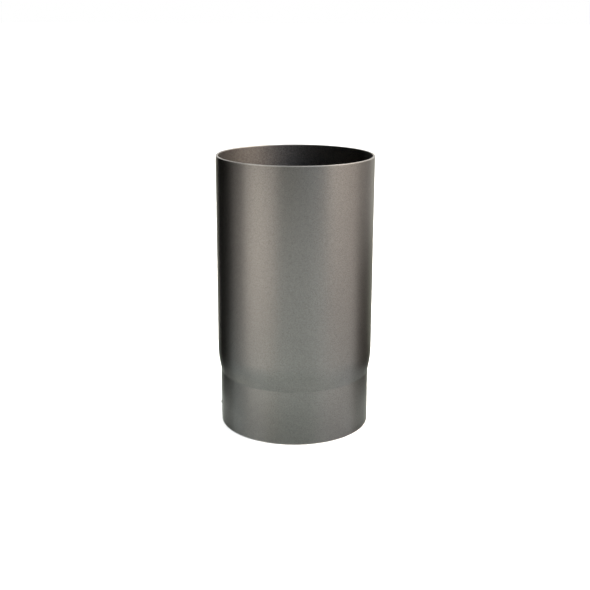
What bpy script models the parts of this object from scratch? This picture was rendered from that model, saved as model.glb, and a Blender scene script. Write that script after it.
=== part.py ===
"""Straight single-wall stove pipe, rolled from one steel sheet and butt welded along one seam.

The socket end is up and takes the spigot of the next pipe. The lower end is swaged in to a spigot,
which slides into the bore of a pipe of the same size. Units are metres, +Z is up, the pipe's axis
is the Z axis, and the origin is at the centre of the spigot's foot.
"""

import math

import bmesh
import bpy

# Bore, sheet and length
BORE = 0.150  # clear diameter of the socket end
SHEET = 0.002  # thickness of the steel sheet
LENGTH = 0.270  # from the foot of the spigot to the rim of the socket

# Spigot, and the shoulder that joins it to the body
SPIGOT_CLEARANCE = 0.00075  # radial gap to the bore that the spigot slides into
SPIGOT_LENGTH = 0.053  # from the foot to the crease
SHOULDER_RADIUS = 0.105  # outer radius of the curve that leaves the body
CREASE_RADIUS = 0.010  # outer radius of the hollow curve that meets the spigot

# Cut edges of the sheet, rounded a little when they are deburred
EDGE_ROUND = 0.0002

# Butt weld along the pipe, dressed almost flush with the sheet
SEAM_ANGLE = 184.0  # degrees round +Z from +X, which is where the front view loses sight of it
SEAM_WIDTH = 0.0030  # width of the bead on the face of the sheet
SEAM_PROUD = 0.00025  # height of the bead over both faces of the sheet
SEAM_END_GAP = 0.0010  # plain sheet between the bead's end and the rounding of the cut edge

# Pip of weld metal left on the seam, outside the spigot
PIP_HEIGHT = 0.0165  # its middle over the foot
PIP_PROUD = 0.0008  # how far it stands out of the sheet
PIP_WIDTH = 0.0024
PIP_LENGTH = 0.0034

# Fineness of the facets
ROUND_STEPS = 96
SHOULDER_STEPS = 7
CREASE_STEPS = 3
EDGE_STEPS = 2
SEAM_ROUNDNESS = 4
PIP_STEPS = 16

# Points nearer than this are one point
MERGE = 0.00001

BODY_RADIUS = BORE / 2 + SHEET
SPIGOT_RADIUS = BORE / 2 - SPIGOT_CLEARANCE


def clear_scene():
    for thing in list(bpy.data.objects):
        bpy.data.objects.remove(thing)


def new_collection(name):
    group = bpy.data.collections.new(name)
    bpy.context.scene.collection.children.link(group)
    return group


def paint_material():
    """Satin heat-proof paint in a warm metallic grey."""
    paint = bpy.data.materials.new("grey_stove_paint")
    paint.use_nodes = True
    shader = paint.node_tree.nodes["Principled BSDF"]
    shader.inputs["Base Color"].default_value = (0.24, 0.23, 0.215, 1.0)
    shader.inputs["Metallic"].default_value = 0.85
    shader.inputs["Roughness"].default_value = 0.42
    return paint


def arc(centre_r, centre_z, radius, start, end, steps):
    """Points (r, z) on an arc in a plane through the axis, both ends included. Angles are in radians."""
    points = []
    for i in range(steps + 1):
        angle = start + (end - start) * i / steps
        points.append((centre_r + radius * math.cos(angle), centre_z + radius * math.sin(angle)))
    return points


def wall_profile(depth, top, foot):
    """Line of the wall at a depth under its outer face, as points (r, z) from top to foot.

    The body runs straight down into the wide shoulder curve, which meets the small hollow curve
    of the crease at a common tangent. The hollow curve ends upright, where the spigot begins.
    """
    swing = math.acos(1 - (BODY_RADIUS - SPIGOT_RADIUS) / (SHOULDER_RADIUS + CREASE_RADIUS))
    shoulder_top = SPIGOT_LENGTH + (SHOULDER_RADIUS + CREASE_RADIUS) * math.sin(swing)
    shoulder = arc(
        BODY_RADIUS - SHOULDER_RADIUS, shoulder_top, SHOULDER_RADIUS - depth, 0, -swing, SHOULDER_STEPS
    )
    crease = arc(
        SPIGOT_RADIUS + CREASE_RADIUS, SPIGOT_LENGTH, CREASE_RADIUS + depth, math.pi - swing, math.pi,
        CREASE_STEPS,
    )
    return [(BODY_RADIUS - depth, top), *shoulder, *crease[1:], (SPIGOT_RADIUS - depth, foot)]


def make_sheet(group):
    """The rolled and swaged sheet: its outer face turned round Z, thickened inwards, edges rounded."""
    mesh = bpy.data.meshes.new("stove_pipe")
    shape = bmesh.new()
    line = [shape.verts.new((r, 0, z)) for r, z in wall_profile(0, LENGTH, 0)]
    for upper, lower in zip(line, line[1:]):
        shape.edges.new((upper, lower))
    shape.to_mesh(mesh)
    shape.free()
    pipe = bpy.data.objects.new("stove_pipe", mesh)
    group.objects.link(pipe)

    roll = pipe.modifiers.new("Roll round the axis", "SCREW")
    roll.axis = "Z"
    roll.angle = 2 * math.pi
    roll.steps = ROUND_STEPS
    roll.render_steps = ROUND_STEPS
    roll.use_smooth_shade = True
    roll.use_merge_vertices = True
    roll.merge_threshold = MERGE

    wall = pipe.modifiers.new("Sheet thickness", "SOLIDIFY")
    wall.thickness = SHEET
    wall.offset = -1
    wall.use_even_offset = True

    deburr = pipe.modifiers.new("Deburred edges", "BEVEL")
    deburr.width = EDGE_ROUND
    deburr.segments = EDGE_STEPS
    deburr.limit_method = "ANGLE"
    deburr.angle_limit = math.radians(60)
    return pipe


def mesh_of(guide, name, spread):
    """A closed mesh object in the place of a bevelled curve, spread along its own Y. The curve goes."""
    bpy.context.view_layer.update()
    graph = bpy.context.evaluated_depsgraph_get()
    mesh = bpy.data.meshes.new_from_object(guide.evaluated_get(graph))
    mesh.name = name
    shape = bmesh.new()
    shape.from_mesh(mesh)
    bmesh.ops.remove_doubles(shape, verts=shape.verts, dist=MERGE)
    bmesh.ops.scale(shape, vec=(1, spread, 1), verts=shape.verts)
    bmesh.ops.recalc_face_normals(shape, faces=shape.faces)
    shape.to_mesh(mesh)
    shape.free()
    made = bpy.data.objects.new(name, mesh)
    made.matrix_world = guide.matrix_world
    bpy.data.objects.remove(guide)
    return made


def make_seam(group):
    """Weld bead: a flattened rod along the middle of the wall, which just breaks through both faces."""
    reach = SHEET / 2 + SEAM_PROUD
    spread = SEAM_WIDTH / 2 / math.sqrt(reach**2 - (SHEET / 2) ** 2)
    end = EDGE_ROUND + SEAM_END_GAP
    line = wall_profile(SHEET / 2, LENGTH - end, end)
    curve = bpy.data.curves.new("seam_line", "CURVE")
    curve.dimensions = "3D"
    curve.bevel_depth = reach
    curve.bevel_resolution = SEAM_ROUNDNESS
    curve.use_fill_caps = True
    path = curve.splines.new("POLY")
    path.points.add(len(line) - 1)
    for point, (r, z) in zip(path.points, line):
        point.co = (r, 0, z, 1)
    guide = bpy.data.objects.new("seam_line", curve)
    guide.rotation_euler.z = math.radians(SEAM_ANGLE)
    group.objects.link(guide)
    bead = mesh_of(guide, "weld_seam", spread)
    group.objects.link(bead)
    return bead


def make_pip(group):
    """Pip of weld metal: a small egg shape sunk half way into the outer face of the spigot."""
    mesh = bpy.data.meshes.new("weld_pip")
    shape = bmesh.new()
    bmesh.ops.create_uvsphere(shape, u_segments=PIP_STEPS, v_segments=PIP_STEPS // 2, radius=1)
    bmesh.ops.scale(shape, vec=(PIP_PROUD, PIP_WIDTH / 2, PIP_LENGTH / 2), verts=shape.verts)
    bmesh.ops.translate(shape, vec=(SPIGOT_RADIUS, 0, PIP_HEIGHT), verts=shape.verts)
    shape.to_mesh(mesh)
    shape.free()
    pip = bpy.data.objects.new("weld_pip", mesh)
    pip.rotation_euler.z = math.radians(SEAM_ANGLE)
    group.objects.link(pip)
    return pip


def fuse(pipe, piece):
    """Joins a piece to the pipe, and keeps the piece itself as a hidden helper."""
    piece.hide_render = True
    piece.display_type = "WIRE"
    weld = pipe.modifiers.new("Fuse " + piece.name, "BOOLEAN")
    weld.operation = "UNION"
    weld.solver = "EXACT"
    weld.object = piece


def main():
    clear_scene()
    product = new_collection("stove_pipe")
    helpers = new_collection("weld_helpers")
    pipe = make_sheet(product)
    pipe.data.materials.append(paint_material())
    fuse(pipe, make_seam(helpers))
    fuse(pipe, make_pip(helpers))
    pipe.modifiers.new("Even shading", "WEIGHTED_NORMAL")


main()
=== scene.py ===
import math

import bmesh
import bpy
from mathutils import Matrix, Vector


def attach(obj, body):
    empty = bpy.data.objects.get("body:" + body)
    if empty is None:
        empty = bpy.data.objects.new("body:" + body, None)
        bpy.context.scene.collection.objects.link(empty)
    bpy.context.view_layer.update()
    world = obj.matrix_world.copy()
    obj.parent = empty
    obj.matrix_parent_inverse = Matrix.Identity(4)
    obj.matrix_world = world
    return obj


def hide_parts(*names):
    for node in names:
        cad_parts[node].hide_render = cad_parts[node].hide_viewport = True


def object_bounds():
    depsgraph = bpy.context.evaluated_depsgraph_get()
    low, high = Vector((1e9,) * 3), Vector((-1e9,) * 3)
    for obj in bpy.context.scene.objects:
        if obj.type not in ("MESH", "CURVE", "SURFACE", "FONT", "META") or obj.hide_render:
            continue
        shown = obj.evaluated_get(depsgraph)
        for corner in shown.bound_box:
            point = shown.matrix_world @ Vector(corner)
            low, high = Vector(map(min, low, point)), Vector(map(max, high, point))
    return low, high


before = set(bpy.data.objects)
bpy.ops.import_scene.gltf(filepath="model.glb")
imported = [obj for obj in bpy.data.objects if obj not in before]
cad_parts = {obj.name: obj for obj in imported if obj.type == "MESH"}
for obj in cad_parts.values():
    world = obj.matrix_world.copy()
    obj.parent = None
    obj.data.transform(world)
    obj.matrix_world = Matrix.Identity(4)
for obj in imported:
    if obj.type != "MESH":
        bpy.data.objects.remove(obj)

cadLow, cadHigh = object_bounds()


# Nodes and groups

def newNode(tree, kind, place, **settings):
    node = tree.nodes.new(kind)
    node.location = place
    for name, value in settings.items():
        setattr(node, name, value)
    return node


def feed(tree, socket, value):
    # a value is either the socket that feeds the input, or what the input is set to
    if isinstance(value, bpy.types.NodeSocket):
        tree.links.new(value, socket)
    else:
        socket.default_value = value


def mathNode(tree, operation, place, *values, clamp=False):
    node = newNode(tree, "ShaderNodeMath", place, operation=operation, use_clamp=clamp)
    for socket, value in zip(node.inputs, values):
        feed(tree, socket, value)
    return node.outputs[0]


def mixColour(tree, place, share, first, second):
    node = newNode(tree, "ShaderNodeMix", place, data_type="RGBA")
    feed(tree, node.inputs["Factor"], share)
    feed(tree, node.inputs[6], first)  # the node's two colours are its inputs 6 and 7
    feed(tree, node.inputs[7], second)
    return node.outputs[2]  # and their mix is its output 2


def dimColour(tree, place, colour, share):
    node = newNode(tree, "ShaderNodeVectorMath", place, operation="SCALE")
    tree.links.new(colour, node.inputs[0])
    tree.links.new(share, node.inputs["Scale"])
    return node.outputs[0]


def newGroup(name, values, results):
    # a group reads the place on the pipe and some numbers, and gives numbers that vary over the pipe
    tree = bpy.data.node_groups.new(name, "ShaderNodeTree")
    tree.interface.new_socket("Vector", in_out="INPUT", socket_type="NodeSocketVector")
    for label in values:
        tree.interface.new_socket(label, in_out="INPUT", socket_type="NodeSocketFloat")
    for label in results:
        tree.interface.new_socket(label, in_out="OUTPUT", socket_type="NodeSocketFloat")
    entry = newNode(tree, "NodeGroupInput", (-900, 0))
    result = newNode(tree, "NodeGroupOutput", (700, 0))
    return tree, entry.outputs, result.inputs


def useGroup(tree, place, group, where, values):
    # places a shared effect in a material, with the values of this material
    node = newNode(tree, "ShaderNodeGroup", place, node_tree=group)
    tree.links.new(where, node.inputs["Vector"])
    for label, value in values.items():
        node.inputs[label].default_value = value
    return node.outputs


def newNoise(tree, place, given, density, detail):
    noise = newNode(tree, "ShaderNodeTexNoise", place, noise_dimensions="3D")
    noise.inputs["Detail"].default_value = detail
    tree.links.new(given["Vector"], noise.inputs["Vector"])
    tree.links.new(given[density], noise.inputs["Scale"])
    return noise.outputs["Fac"]


def bothWays(tree, place, value):
    # spreads 0...1 over -1...1
    right, up = place
    centred = mathNode(tree, "SUBTRACT", place, value, 0.5)
    return mathNode(tree, "MULTIPLY", (right + 200, up), centred, 2.0)


def makeFlakeGroup():
    # metal flakes in the paint: every cell gets its own brightness, warmth and tilt
    tree, given, made = newGroup("metalFlake", ["Flakes per Metre"], ["Tone", "Warmth", "Height"])
    cells = newNode(tree, "ShaderNodeTexVoronoi", (-600, 0), feature="F1", voronoi_dimensions="3D")
    tree.links.new(given["Vector"], cells.inputs["Vector"])
    tree.links.new(given["Flakes per Metre"], cells.inputs["Scale"])
    parts = newNode(tree, "ShaderNodeSeparateColor", (-400, 0))
    tree.links.new(cells.outputs["Color"], parts.inputs["Color"])
    for row, (channel, label) in enumerate([("Red", "Tone"), ("Green", "Warmth"), ("Blue", "Height")]):
        tree.links.new(bothWays(tree, (-200, -160 * row), parts.outputs[channel]), made[label])
    return tree


def makeSprayGroup():
    # how the sprayed coat flowed out: fine orange peel, and slow drifts in how much paint fell
    tree, given, made = newGroup("sprayedCoat", ["Peel per Metre", "Drifts per Metre"], ["Peel", "Drift"])
    for row, (density, label, detail) in enumerate(
        [("Peel per Metre", "Peel", 2.0), ("Drifts per Metre", "Drift", 3.0)]
    ):
        noise = newNoise(tree, (-500, -300 * row), given, density, detail)
        tree.links.new(bothWays(tree, (-200, -300 * row), noise), made[label])
    return tree


def makeWearGroup():
    # paint rubbed thin along the cut edges at both ends, with a ragged border
    tree, given, made = newGroup(
        "rubbedEdge", ["Pipe Height", "Reach", "Raggedness", "Nicks per Metre"], ["Wear"]
    )
    parts = newNode(tree, "ShaderNodeSeparateXYZ", (-700, 0))
    tree.links.new(given["Vector"], parts.inputs["Vector"])
    fromRim = mathNode(tree, "SUBTRACT", (-500, 0), given["Pipe Height"], parts.outputs["Z"])
    fromEnd = mathNode(tree, "MINIMUM", (-350, 0), fromRim, parts.outputs["Z"])
    noise = newNoise(tree, (-700, -250), given, "Nicks per Metre", detail=3.0)
    centred = mathNode(tree, "SUBTRACT", (-500, -250), noise, 0.5)
    ragged = mathNode(tree, "MULTIPLY", (-350, -250), centred, given["Raggedness"])
    border = mathNode(tree, "ADD", (-150, 0), fromEnd, ragged)
    inside = mathNode(tree, "SUBTRACT", (0, 0), given["Reach"], border)
    soft = mathNode(tree, "DIVIDE", (150, 0), inside, given["Raggedness"], clamp=True)
    tree.links.new(soft, made["Wear"])
    return tree


def makeRippleGroup(seamAngle):
    # the butt weld's crescent ripples, which show through the paint on both faces of the sheet
    tree, given, made = newGroup("weldRipple", ["Half Width", "Ripples per Metre"], ["Ripple"])
    seam = math.radians(seamAngle)
    outward = newNode(tree, "ShaderNodeVectorMath", (-700, 200), operation="DOT_PRODUCT")
    outward.inputs[1].default_value = (math.cos(seam), math.sin(seam), 0)
    across = newNode(tree, "ShaderNodeVectorMath", (-700, 0), operation="DOT_PRODUCT")
    across.inputs[1].default_value = (-math.sin(seam), math.cos(seam), 0)
    along = newNode(tree, "ShaderNodeSeparateXYZ", (-700, -200))
    for node in (outward, across, along):
        tree.links.new(given["Vector"], node.inputs[0])
    share = mathNode(tree, "DIVIDE", (-500, 0), across.outputs["Value"], given["Half Width"])
    squared = mathNode(tree, "MULTIPLY", (-350, 0), share, share)
    bead = mathNode(tree, "SUBTRACT", (-200, 0), 1.0, squared, clamp=True)
    side = mathNode(tree, "GREATER_THAN", (-350, 200), outward.outputs["Value"], 0.0)
    mask = mathNode(tree, "MULTIPLY", (0, 100), bead, side)
    steps = mathNode(tree, "MULTIPLY", (-500, -200), along.outputs["Z"], given["Ripples per Metre"])
    bowed = mathNode(tree, "ADD", (-200, -200), steps, squared)
    turns = mathNode(tree, "MULTIPLY", (-50, -200), bowed, 2 * math.pi)
    wave = mathNode(tree, "SINE", (100, -200), turns)
    ripple = mathNode(tree, "MULTIPLY", (300, 0), wave, mask)
    tree.links.new(ripple, made["Ripple"])
    return tree


def makePaint(name, look, groups):
    # heat-proof metallic paint on steel: a coloured metal base with flakes, peel and drifts
    material = bpy.data.materials.new(name)
    material.use_nodes = True
    tree = material.node_tree
    tree.nodes.clear()
    output = newNode(tree, "ShaderNodeOutputMaterial", (1100, 0))
    shader = newNode(tree, "ShaderNodeBsdfPrincipled", (800, 0))
    tree.links.new(shader.outputs["BSDF"], output.inputs["Surface"])
    shader.inputs["Metallic"].default_value = look["metallic"]

    place = newNode(tree, "ShaderNodeTexCoord", (-1100, 0)).outputs["Object"]
    flake = useGroup(tree, (-800, 200), groups["flake"], place, {
        "Flakes per Metre": look["flakesPerMetre"],
    })
    spray = useGroup(tree, (-800, -200), groups["spray"], place, {
        "Peel per Metre": look["peelPerMetre"],
        "Drifts per Metre": look["driftsPerMetre"],
    })
    wear = useGroup(tree, (-800, 600), groups["wear"], place, {
        "Pipe Height": cadHigh.z,
        "Reach": look["wearReach"],
        "Raggedness": look["wearRaggedness"],
        "Nicks per Metre": look["nicksPerMetre"],
    })
    weld = useGroup(tree, (-800, -600), groups["weld"], place, {
        "Half Width": look["rippleHalfWidth"],
        "Ripples per Metre": look["ripplesPerMetre"],
    })

    # colour: the base, brighter or darker by flake and drift, a little warmer or cooler by flake
    flakeTone = mathNode(tree, "MULTIPLY", (-500, 300), flake["Tone"], look["flakeTone"])
    driftTone = mathNode(tree, "MULTIPLY", (-500, 120), spray["Drift"], look["driftTone"])
    tone = mathNode(tree, "ADD", (-300, 250), flakeTone, driftTone)
    gain = mathNode(tree, "ADD", (-100, 250), tone, 1.0)
    warmth = mathNode(tree, "MULTIPLY_ADD", (-300, 450), flake["Warmth"], look["flakeWarmth"], 0.5)
    hue = mixColour(tree, (0, 500), warmth, (*look["coolColour"], 1), (*look["warmColour"], 1))
    shade = dimColour(tree, (250, 400), hue, gain)
    rubbed = mixColour(tree, (500, 400), wear["Wear"], shade, (*look["rubbedColour"], 1))
    tree.links.new(rubbed, shader.inputs["Base Color"])

    # roughness: each flake and each drift is a little smoother or rougher
    flakeRough = mathNode(tree, "MULTIPLY", (-500, -100), flake["Height"], look["flakeRoughness"])
    driftRough = mathNode(tree, "MULTIPLY", (-500, -250), spray["Drift"], look["driftRoughness"])
    rough = mathNode(tree, "ADD", (-300, -150), flakeRough, driftRough)
    rough = mathNode(tree, "ADD", (-100, -150), rough, look["roughness"], clamp=True)
    tree.links.new(rough, shader.inputs["Roughness"])

    # relief in metres: orange peel with the flakes' tilt in it, and the weld's ripples under them
    flakeStep = mathNode(tree, "MULTIPLY", (-500, -450), flake["Height"], look["flakeRelief"])
    peel = mathNode(tree, "MULTIPLY", (-500, -600), spray["Peel"], look["peelRelief"])
    ripple = mathNode(tree, "MULTIPLY", (-500, -750), weld["Ripple"], look["rippleRelief"])
    relief = mathNode(tree, "ADD", (-300, -500), flakeStep, peel)
    relief = mathNode(tree, "ADD", (-100, -500), relief, ripple)
    bump = newNode(tree, "ShaderNodeBump", (450, -400))
    bump.inputs["Strength"].default_value = 1.0
    bump.inputs["Distance"].default_value = 1.0
    tree.links.new(relief, bump.inputs["Height"])
    tree.links.new(bump.outputs["Normal"], shader.inputs["Normal"])
    return material


# The pipe

def finishMesh(name, bm, materials):
    mesh = bpy.data.meshes.new(name)
    bm.to_mesh(mesh)
    bm.free()
    for material in materials:
        mesh.materials.append(material)
    made = bpy.data.objects.new(name, mesh)
    bpy.context.scene.collection.objects.link(made)
    return made


# sizes in metres; the height and the body's radius come from the imported model's bounds
pipeLook = {
    "sheet": 0.002,  # thickness of the rolled steel
    "spigotGap": 0.00075,  # radial clearance of the spigot in the next pipe's bore
    "spigotLength": 0.053,  # from the foot to the crease
    "shoulderRadius": 0.105,
    "creaseRadius": 0.010,
    "edgeRound": 0.0002,  # rounding of both cut edges
    "edgeSegments": 4,
    "sharpAngle": 60,  # in degrees; only the corners of the cut edges are sharper
    "shoulderSteps": 14,
    "creaseSteps": 6,
    "bodyRows": 31,
    "spigotRows": 10,
    "roundSteps": 240,
    "seamAngle": 184.0,  # degrees round +Z from +X
    "seamWidth": 0.003,
    "seamStrip": 0.0036,  # width of the strip with narrow columns, which carries the bead
    "seamProud": 0.00025,
    "seamEnd": 0.0012,  # plain sheet between the bead and each cut edge
    "seamFade": 0.004,  # length over which the bead is ground away at each end
    "seamSteps": 10,
    "pipHeight": 0.0165,  # drip of weld metal on the spigot: its middle over the foot
    "pipProud": 0.0008,
    "pipWidth": 0.0024,
    "pipLength": 0.0034,
    "pipRow": 0.0003,  # spacing of the rows that carry the drip
    "mergeDistance": 0.000001,
}


def wallLine(bm, look, bodyRadius, height):
    # outer line of the wall from rim to foot: straight, wide shoulder arc, hollow crease arc, straight
    spigotRadius = bodyRadius - look["sheet"] - look["spigotGap"]
    bothRadii = look["shoulderRadius"] + look["creaseRadius"]
    swing = math.acos(1 - (bodyRadius - spigotRadius) / bothRadii)
    shoulderTop = look["spigotLength"] + bothRadii * math.sin(swing)

    rim = bm.verts.new((bodyRadius, 0, height))
    tip = bm.verts.new((bodyRadius, 0, shoulderTop))
    body = bm.edges.new((rim, tip))
    for centre, turn, steps in (
        ((bodyRadius - look["shoulderRadius"], 0, shoulderTop), swing, look["shoulderSteps"]),
        ((spigotRadius + look["creaseRadius"], 0, look["spigotLength"]), -swing, look["creaseSteps"]),
    ):
        swept = bmesh.ops.spin(bm, geom=[tip], cent=centre, axis=(0, 1, 0), angle=turn, steps=steps)
        tip = next(part for part in swept["geom_last"] if isinstance(part, bmesh.types.BMVert))
    foot = bm.verts.new((spigotRadius, 0, 0))
    spigot = bm.edges.new((tip, foot))
    bmesh.ops.subdivide_edges(bm, edges=[body], cuts=look["bodyRows"])
    bmesh.ops.subdivide_edges(bm, edges=[spigot], cuts=look["spigotRows"])


def turnWall(bm, look, bodyRadius):
    # turned in two goes, so that the strip under the weld gets narrow columns
    seamSpan = look["seamStrip"] / bodyRadius
    start = math.radians(look["seamAngle"]) - seamSpan / 2
    bmesh.ops.rotate(bm, verts=bm.verts, cent=(0, 0, 0), matrix=Matrix.Rotation(start, 3, "Z"))
    line = bm.verts[:] + bm.edges[:]
    for span, steps in ((seamSpan, look["seamSteps"]), (2 * math.pi - seamSpan, look["roundSteps"])):
        swept = bmesh.ops.spin(bm, geom=line, cent=(0, 0, 0), axis=(0, 0, 1), angle=span, steps=steps)
        line = swept["geom_last"]
    bmesh.ops.remove_doubles(bm, verts=bm.verts, dist=look["mergeDistance"])
    bmesh.ops.recalc_face_normals(bm, faces=bm.faces)


def raiseWeld(bm, look, height):
    # the dressed bead stands proud on both faces, and the drip on the outer face alone
    seam = math.radians(look["seamAngle"])
    bm.normal_update()
    moves = []
    for vert in bm.verts:
        radius = math.hypot(vert.co.x, vert.co.y)
        turn = (math.atan2(vert.co.y, vert.co.x) - seam + math.pi) % (2 * math.pi) - math.pi
        across = turn * radius
        outward = vert.normal.x * vert.co.x + vert.normal.y * vert.co.y > 0
        fromEnd = min(vert.co.z, height - vert.co.z) - look["seamEnd"]
        fade = min(1, max(0, fromEnd / look["seamFade"]))
        share = min(1, abs(across) / (look["seamWidth"] / 2))
        ease = fade * fade * (3 - 2 * fade)  # rises softly from 0 to 1
        lift = look["seamProud"] * (1 - share * share) * ease
        if outward:
            wide = across / (look["pipWidth"] / 2)
            high = (vert.co.z - look["pipHeight"]) / (look["pipLength"] / 2)
            lift = max(lift, look["pipProud"] * math.sqrt(max(0, 1 - wide * wide - high * high)))
        if lift > 0:
            moves.append((vert, vert.normal * lift))
    for vert, move in moves:
        vert.co += move


def buildPipe(look, materials):
    height = cadHigh.z
    bodyRadius = cadHigh.x
    bm = bmesh.new()
    wallLine(bm, look, bodyRadius, height)
    turnWall(bm, look, bodyRadius)
    bmesh.ops.solidify(bm, geom=bm.faces[:], thickness=look["sheet"])
    sharpAngle = math.radians(look["sharpAngle"])
    sharp = [edge for edge in bm.edges if edge.calc_face_angle(0) > sharpAngle]
    bmesh.ops.bevel(
        bm, geom=sharp, offset=look["edgeRound"], segments=look["edgeSegments"], profile=0.5,
        affect="EDGES", material=-1,
    )
    row = look["pipHeight"] - look["pipLength"] / 2
    while row < look["pipHeight"] + look["pipLength"] / 2 + look["pipRow"] / 2:
        bmesh.ops.bisect_plane(
            bm, geom=bm.verts[:] + bm.edges[:] + bm.faces[:], plane_co=(0, 0, row), plane_no=(0, 0, 1),
        )
        row += look["pipRow"]
    raiseWeld(bm, look, height)
    insidePaint, edgePaint = 1, 2  # places in the list of materials; 0 is the outside
    for face in bm.faces:
        face.smooth = True
        centre = face.calc_center_median()
        if min(centre.z, height - centre.z) < look["edgeRound"]:
            face.material_index = edgePaint
        elif face.normal.x * centre.x + face.normal.y * centre.y < 0:
            face.material_index = insidePaint
    pipe = finishMesh("painted_pipe", bm, materials)
    pipe.modifiers.new("evenShading", "WEIGHTED_NORMAL")
    return pipe


groups = {
    "flake": makeFlakeGroup(),
    "spray": makeSprayGroup(),
    "wear": makeWearGroup(),
    "weld": makeRippleGroup(pipeLook["seamAngle"]),
}
print("shared effects built:", ", ".join(sorted(groups)))

outsideLook = {
    "warmColour": (0.325, 0.304, 0.28),
    "coolColour": (0.30, 0.304, 0.292),
    "metallic": 1.0,
    "roughness": 0.34,
    "flakesPerMetre": 2500,
    "flakeTone": 0.21,
    "flakeWarmth": 0.3,
    "flakeRoughness": 0.03,
    "flakeRelief": 0.000004,
    "peelPerMetre": 700,
    "peelRelief": 0.00001,
    "driftsPerMetre": 18,
    "driftTone": 0.04,
    "driftRoughness": 0.02,
    "rubbedColour": (0.60, 0.60, 0.58),  # bare steel that shows where the paint is rubbed thin
    "wearReach": 0.0009,
    "wearRaggedness": 0.0003,
    "nicksPerMetre": 400,  # how fine the ragged border is
    "rippleHalfWidth": 0.0014,
    "ripplesPerMetre": 850,
    "rippleRelief": 0.00004,
}
insideLook = {
    **outsideLook,  # a thinner, drier coat, its colour darkened to paint in part of the shade inside the pipe
    # these darker colours are partly painted shade: they dim the light that bounces about inside the bore
    "warmColour": (0.16, 0.149, 0.1375),
    "coolColour": (0.148, 0.149, 0.143),
    "roughness": 0.55,
    "flakesPerMetre": 1600,
    "flakeTone": 0.32,
    "peelRelief": 0.00002,
}
edgeLook = {
    **outsideLook,  # sawn and deburred steel, duller than the sprayed faces
    "roughness": 0.62,
}
paints = [
    makePaint("pipe_paint_outside", outsideLook, groups),
    makePaint("pipe_paint_inside", insideLook, groups),
    makePaint("pipe_paint_cut_edge", edgeLook, groups),
]
print("paints mixed:", len(paints))

pipe = buildPipe(pipeLook, paints)
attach(pipe, "root")
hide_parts("stove_pipe")
print("pipe turned:", len(pipe.data.polygons), "faces")


# Floor, background, lights and camera

floorLook = {
    "radius": 40.0,
    "segments": 96,
    "drop": 0.0002,
    "colour": (0.9, 0.9, 0.89),
    "roughness": 0.9,
    "specular": 0.0,
}


def buildFloor(look):
    bm = bmesh.new()
    bmesh.ops.create_circle(bm, cap_ends=True, segments=look["segments"], radius=look["radius"])
    bmesh.ops.translate(bm, verts=bm.verts, vec=(0, 0, -look["drop"]))
    material = bpy.data.materials.new("studio_floor")
    material.use_nodes = True
    shader = material.node_tree.nodes["Principled BSDF"]
    shader.inputs["Base Color"].default_value = (*look["colour"], 1)
    shader.inputs["Roughness"].default_value = look["roughness"]
    shader.inputs["Specular IOR Level"].default_value = look["specular"]
    floor = finishMesh("studio_floor", bm, [material])
    floor.visible_glossy = False  # the pipe mirrors the lights and the bounce card, not the floor
    floor.visible_diffuse = False
    floor.visible_shadow = False
    return floor


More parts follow.
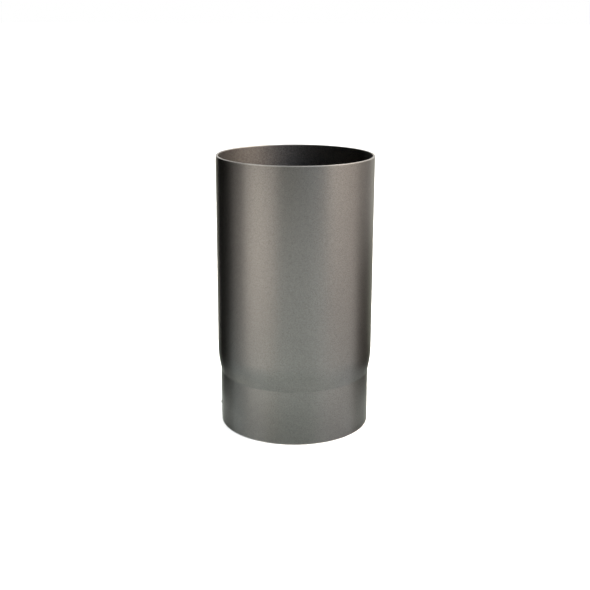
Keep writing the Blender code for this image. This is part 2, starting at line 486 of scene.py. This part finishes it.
# Soft boxes stand round the pipe on a wide circle. Bearing 0 is the camera's side and +90 the right,
# rise is the height angle of a box's middle as seen from the pipe, and span and tall are angles.
# A wide box is made of several flat parts side by side. The high boxes shine over the rim into the
# mouth, and the ones below floor level give the wall the light that a white floor sends back.
lightCircle = 1.4
softBoxes = {
    "leftBox": {
        "bearing": -51, "span": 48, "parts": 2, "rise": -9, "tall": 22,
        "glow": 1.36, "tint": (1.00, 0.92, 0.86),
    },
    "leftCore": {
        "bearing": -53, "span": 12, "parts": 1, "rise": -5, "tall": 10,
        "glow": 0.45, "tint": (1.00, 0.95, 0.80),
    },
    "leftEdge": {
        "bearing": -87, "span": 24, "parts": 1, "rise": -9, "tall": 22,
        "glow": 0.33, "tint": (1.00, 0.92, 0.89),
    },
    "frontLow": {
        "bearing": 9, "span": 72, "parts": 2, "rise": -15, "tall": 10,
        "glow": 1.15, "tint": (0.97, 1.00, 0.99),
    },
    "frontMid": {
        "bearing": 18, "span": 90, "parts": 2, "rise": -4, "tall": 12,
        "glow": 0.36, "tint": (1.00, 0.95, 0.88),
    },
    "rightBox": {
        "bearing": 72, "span": 54, "parts": 2, "rise": -9, "tall": 22,
        "glow": 0.77, "tint": (1.00, 0.92, 0.88),
    },
    "rightHigh": {
        "bearing": 74, "span": 40, "parts": 2, "rise": 26, "tall": 14,
        "glow": 27.5, "tint": (1.00, 0.85, 0.74),
    },
    "frontHigh": {
        "bearing": 31, "span": 28, "parts": 1, "rise": 25, "tall": 14,
        "glow": 3.5, "tint": (0.29, 0.59, 1.00),
    },
    "rightBack": {
        "bearing": 126, "span": 54, "parts": 2, "rise": -4, "tall": 12,
        "glow": 0.44, "tint": (1.00, 0.94, 0.91),
    },
    "rightRear": {
        "bearing": 148, "span": 22, "parts": 1, "rise": -9, "tall": 22,
        "glow": 0.33, "tint": (0.94, 1.00, 0.83),
    },
    "backBox": {
        "bearing": 183, "span": 48, "parts": 2, "rise": -9, "tall": 22,
        "glow": 1.04, "tint": (1.00, 1.00, 0.86),
    },
    "lowLeft": {
        "bearing": -76, "span": 66, "parts": 2, "rise": -27, "tall": 14,
        "glow": 0.38, "tint": (0.85, 0.96, 1.00),
    },
    "lowFront": {
        "bearing": -4, "span": 78, "parts": 2, "rise": -27, "tall": 14,
        "glow": 0.19, "tint": (0.82, 1.00, 0.92),
    },
    "lowRight": {
        "bearing": 68, "span": 66, "parts": 2, "rise": -27, "tall": 14,
        "glow": 0.42, "tint": (0.92, 0.95, 1.00),
    },
    "lowBack": {
        "bearing": 180, "span": 54, "parts": 2, "rise": -27, "tall": 14,
        "glow": 0.72, "tint": (0.89, 1.00, 0.87),
    },
    "belowFront": {
        "bearing": -3, "span": 150, "parts": 4, "rise": -44, "tall": 20,
        "glow": 0.71, "tint": (0.95, 1.00, 0.97),
    },
    "belowLeft": {
        "bearing": -97, "span": 38, "parts": 1, "rise": -44, "tall": 20,
        "glow": 0.6, "tint": (0.98, 1.00, 0.93),
    },
    "belowRight": {
        "bearing": 92, "span": 40, "parts": 1, "rise": -44, "tall": 20,
        "glow": 0.59, "tint": (0.95, 0.97, 1.00),
    },
    "backdrop": {
        "bearing": 180, "span": 70, "parts": 2, "rise": 24, "tall": 36,
        "glow": 1.6, "tint": (1.0, 1.0, 0.97),
    },
}
overheadBox = {"height": 1.5, "side": 2.2, "glow": 0.04, "tint": (1.0, 1.0, 0.98)}
# A ring of bounce card at floor level gives back the floor's light near the foot. Each of its bands
# lies between two radii, has a glow for some bearings in degrees, and blends into the next band over
# a soft width.
bounceCard = {
    "inner": 0.0745,
    "outer": 0.34,
    "segments": 96,
    "drop": 0.0003,
    "softness": 0.012,
    "tint": (0.94, 1.00, 0.96),
    "bands": [
        (0.0, 0.12, {
            -175: 0.05, -145: 0.26, -120: 0.4, -96: 0.34, -72: 0.22, -46: 0,
            44: 0, 72: 0.27, 96: 0.36, 120: 0.33, 145: 0.2, 175: 0.05,
        }),
        (0.12, 0.18, {
            -168: 0, -144: 0.14, -120: 0.1, -96: 0.18, -70: 0.03,
            48: 0.04, 72: 0.11, 96: 0.28, 120: 0.17, 142: 0,
        }),
        (0.18, 0.30, {
            -96: 0, -72: 0.07, -48: 0.32, -24: 0.34, 0: 0.26,
            24: 0.2, 48: 0.27, 72: 0.14, 96: 0,
        }),
    ],
}
floorLight = {"strength": 5.6, "softness": 150}  # a sun as wide as that angle, for the floor alone


def addLamp(name, width, tall, look):
    # glow is the lamp's own brightness, where 1 is as bright as the white background
    data = bpy.data.lights.new(name, "AREA")
    data.shape = "RECTANGLE"
    data.size = width
    data.size_y = tall
    data.energy = math.pi * width * tall * look["glow"]
    data.color = look["tint"]
    lamp = bpy.data.objects.new(name, data)
    bpy.context.scene.collection.objects.link(lamp)
    lamp.visible_camera = False
    return lamp


def addSoftBox(name, look, aim):
    each = look["span"] / look["parts"]  # the angle that one part takes
    first = look["bearing"] - look["span"] / 2 + each / 2
    rise = math.radians(look["rise"])
    distance = lightCircle / math.cos(rise)
    width = 2 * lightCircle * math.tan(math.radians(each) / 2)
    tall = 2 * distance * math.tan(math.radians(look["tall"]) / 2)
    for part in range(look["parts"]):
        bearing = math.radians(first + each * part)
        away = Vector((
            math.sin(bearing) * math.cos(rise), -math.cos(bearing) * math.cos(rise), math.sin(rise)
        ))
        lamp = addLamp(name, width, tall, look)
        turn = away.to_track_quat("Z", "Y").to_matrix().to_4x4()
        lamp.matrix_world = Matrix.Translation(aim + away * distance) @ turn


def makeBounceGlow(look):
    # each band is a ramp round the pipe, cut out softly between its two radii
    material = bpy.data.materials.new("bounce_card")
    material.use_nodes = True
    tree = material.node_tree
    tree.nodes.clear()
    place = newNode(tree, "ShaderNodeTexCoord", (-1300, 0)).outputs["Object"]
    radius = newNode(tree, "ShaderNodeVectorMath", (-1000, 300), operation="LENGTH")
    parts = newNode(tree, "ShaderNodeSeparateXYZ", (-1100, 0))
    tree.links.new(place, radius.inputs[0])
    tree.links.new(place, parts.inputs["Vector"])
    front = mathNode(tree, "MULTIPLY", (-950, -100), parts.outputs["Y"], -1.0)
    bearing = mathNode(tree, "ARCTAN2", (-800, 0), parts.outputs["X"], front)
    turn = mathNode(tree, "DIVIDE", (-650, 0), bearing, 2 * math.pi)
    turn = mathNode(tree, "ADD", (-500, 0), turn, 0.5)
    bands = []
    for row, (near, far, glows) in enumerate(look["bands"]):
        ramp = newNode(tree, "ShaderNodeValToRGB", (-300, -400 * row))
        tree.links.new(turn, ramp.inputs["Fac"])
        stops = ramp.color_ramp.elements
        stops.remove(stops[1])
        for number, (angle, glow) in enumerate(glows.items()):
            share = 0.5 + angle / 360  # of the way round, from the back
            stop = stops.new(share) if number else stops[0]
            stop.position = share
            stop.color = (*[glow * part for part in look["tint"]], 1)
        shade = ramp.outputs["Color"]
        for step, (edge, before, after) in enumerate(((near, 0, 1), (far, 1, 0))):
            blend = newNode(tree, "ShaderNodeMapRange", (200 * step, 200 - 400 * row))
            blend.interpolation_type = "SMOOTHSTEP"
            blend.inputs["From Min"].default_value = edge - look["softness"]
            blend.inputs["From Max"].default_value = edge + look["softness"]
            blend.inputs["To Min"].default_value = before
            blend.inputs["To Max"].default_value = after
            tree.links.new(radius.outputs["Value"], blend.inputs["Value"])
            shade = dimColour(tree, (100 + 200 * step, -400 * row), shade, blend.outputs["Result"])
        bands.append(shade)
    total = bands[0]
    for shade in bands[1:]:
        both = newNode(tree, "ShaderNodeVectorMath", (600, 0), operation="ADD")
        tree.links.new(total, both.inputs[0])
        tree.links.new(shade, both.inputs[1])
        total = both.outputs[0]
    # clear as well as glowing, so that the boxes below floor level still shine through the card
    glow = newNode(tree, "ShaderNodeEmission", (800, 100))
    clear = newNode(tree, "ShaderNodeBsdfTransparent", (800, -100))
    surface = newNode(tree, "ShaderNodeAddShader", (1000, 0))
    output = newNode(tree, "ShaderNodeOutputMaterial", (1200, 0))
    tree.links.new(total, glow.inputs["Color"])
    tree.links.new(glow.outputs[0], surface.inputs[0])
    tree.links.new(clear.outputs[0], surface.inputs[1])
    tree.links.new(surface.outputs[0], output.inputs["Surface"])
    return material


def buildBounceCard(look):
    bm = bmesh.new()
    bmesh.ops.create_circle(bm, segments=look["segments"], radius=look["inner"])
    widened = bmesh.ops.extrude_edge_only(bm, edges=bm.edges[:])
    outer = [part for part in widened["geom"] if isinstance(part, bmesh.types.BMVert)]
    growth = look["outer"] / look["inner"]
    bmesh.ops.scale(bm, vec=(growth, growth, 1), verts=outer)
    bmesh.ops.translate(bm, verts=bm.verts, vec=(0, 0, -look["drop"]))
    card = finishMesh("bounce_card", bm, [makeBounceGlow(look)])
    card.visible_camera = False
    card.visible_shadow = False
    return card


floor = buildFloor(floorLook)
card = buildBounceCard(bounceCard)

aim = Vector((0, 0, cadHigh.z / 2))
for name, look in softBoxes.items():
    addSoftBox(name, look, aim)
overhead = addLamp("overhead", overheadBox["side"], overheadBox["side"], overheadBox)
overhead.location.z = overheadBox["height"]
washData = bpy.data.lights.new("floorLight", "SUN")
washData.energy = floorLight["strength"]
washData.angle = math.radians(floorLight["softness"])
wash = bpy.data.objects.new("floorLight", washData)
bpy.context.scene.collection.objects.link(wash)
floorOnly = bpy.data.collections.new("litByFloorLight")
floorOnly.objects.link(floor)
wash.light_linking.receiver_collection = floorOnly

world = bpy.data.worlds.new("studio")
bpy.context.scene.world = world
world.use_nodes = True
world.node_tree.nodes["Background"].inputs["Color"].default_value = (1, 1, 1, 1)
world.cycles_visibility.diffuse = False  # white for the camera alone
world.cycles_visibility.glossy = False
bpy.context.scene.view_settings.view_transform = "Standard"

# The place, the tilt and the focal length were fitted to the outline in the photograph
cameraLook = {
    "place": (0, -0.9563, 0.4016),
    "tilt": 14.20,  # degrees down
    "roll": 0.214,
    "lens": 60.51,
    "sensor": 36,  # width in millimetres, as the lens
    "shiftY": -0.0508,
    "nearest": 0.01,
}
view = bpy.data.cameras.new("photo_view")
view.lens = cameraLook["lens"]
view.sensor_width = cameraLook["sensor"]
view.shift_y = cameraLook["shiftY"]
view.clip_start = cameraLook["nearest"]
camera = bpy.data.objects.new("photo_view", view)
bpy.context.scene.collection.objects.link(camera)
camera.matrix_world = (
    Matrix.Translation(cameraLook["place"])
    @ Matrix.Rotation(math.radians(90 - cameraLook["tilt"]), 4, "X")
    @ Matrix.Rotation(math.radians(cameraLook["roll"]), 4, "Z")
)
bpy.context.scene.camera = camera
print("camera set")
